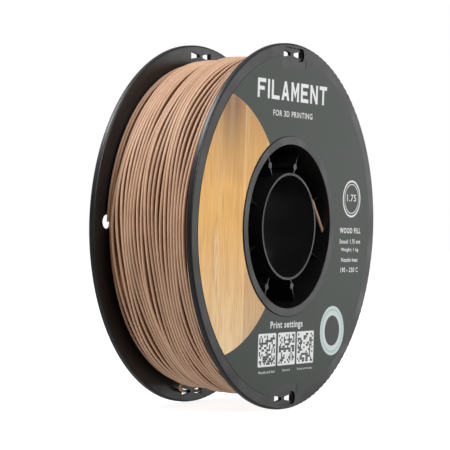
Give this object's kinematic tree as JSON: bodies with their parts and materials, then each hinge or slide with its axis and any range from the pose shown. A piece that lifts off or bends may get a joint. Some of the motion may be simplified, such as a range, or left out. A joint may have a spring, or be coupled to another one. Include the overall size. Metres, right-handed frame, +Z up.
{
  "type": "filament spool",
  "caption": "Two-flange plastic spool wound with printer filament, with a through bore, ribbed open hub, filament clips in the flanges and a ring-shaped label on one side.",
  "frame": {"origin": "centre of the bore, half way between the two flanges", "axes": "+Y along the bore away from the labelled flange, +Z up with the clips at top and bottom, +X to the right when looking at the label"},
  "size_m": [0.2, 0.0648, 0.2],
  "materials": {
    "spool_plastic": "satin",
    "label_film": "satin",
    "filament": "matte"
  },
  "bodies": {
    "root": {"front_flange": "spool_plastic", "rear_flange": "spool_plastic", "front_barrel": "spool_plastic", "rear_barrel": "spool_plastic", "front_bore_tube": "spool_plastic", "rear_bore_tube": "spool_plastic", "front_hub_ribs": "spool_plastic", "rear_hub_ribs": "spool_plastic", "front_label": "label_film", "winding_layer_01": "filament", "winding_layer_02": "filament", "winding_layer_03": "filament", "winding_layer_04": "filament", "winding_layer_05": "filament", "winding_layer_06": "filament", "winding_layer_07": "filament", "winding_layer_08": "filament", "winding_layer_09": "filament", "winding_layer_10": "filament", "winding_layer_11": "filament", "winding_layer_12": "filament", "winding_layer_13": "filament", "winding_layer_14": "filament", "winding_layer_15": "filament", "winding_layer_16": "filament", "winding_layer_17": "filament", "winding_layer_18": "filament", "winding_layer_19": "filament", "winding_layer_20": "filament", "winding_layer_21": "filament", "winding_layer_22": "filament", "winding_layer_23": "filament", "winding_layer_24": "filament", "winding_layer_25": "filament", "winding_layer_26": "filament", "winding_layer_27": "filament", "winding_layer_28": "filament", "filament_outer_end": "filament", "filament_inner_end": "filament"}
  },
  "joints": []
}
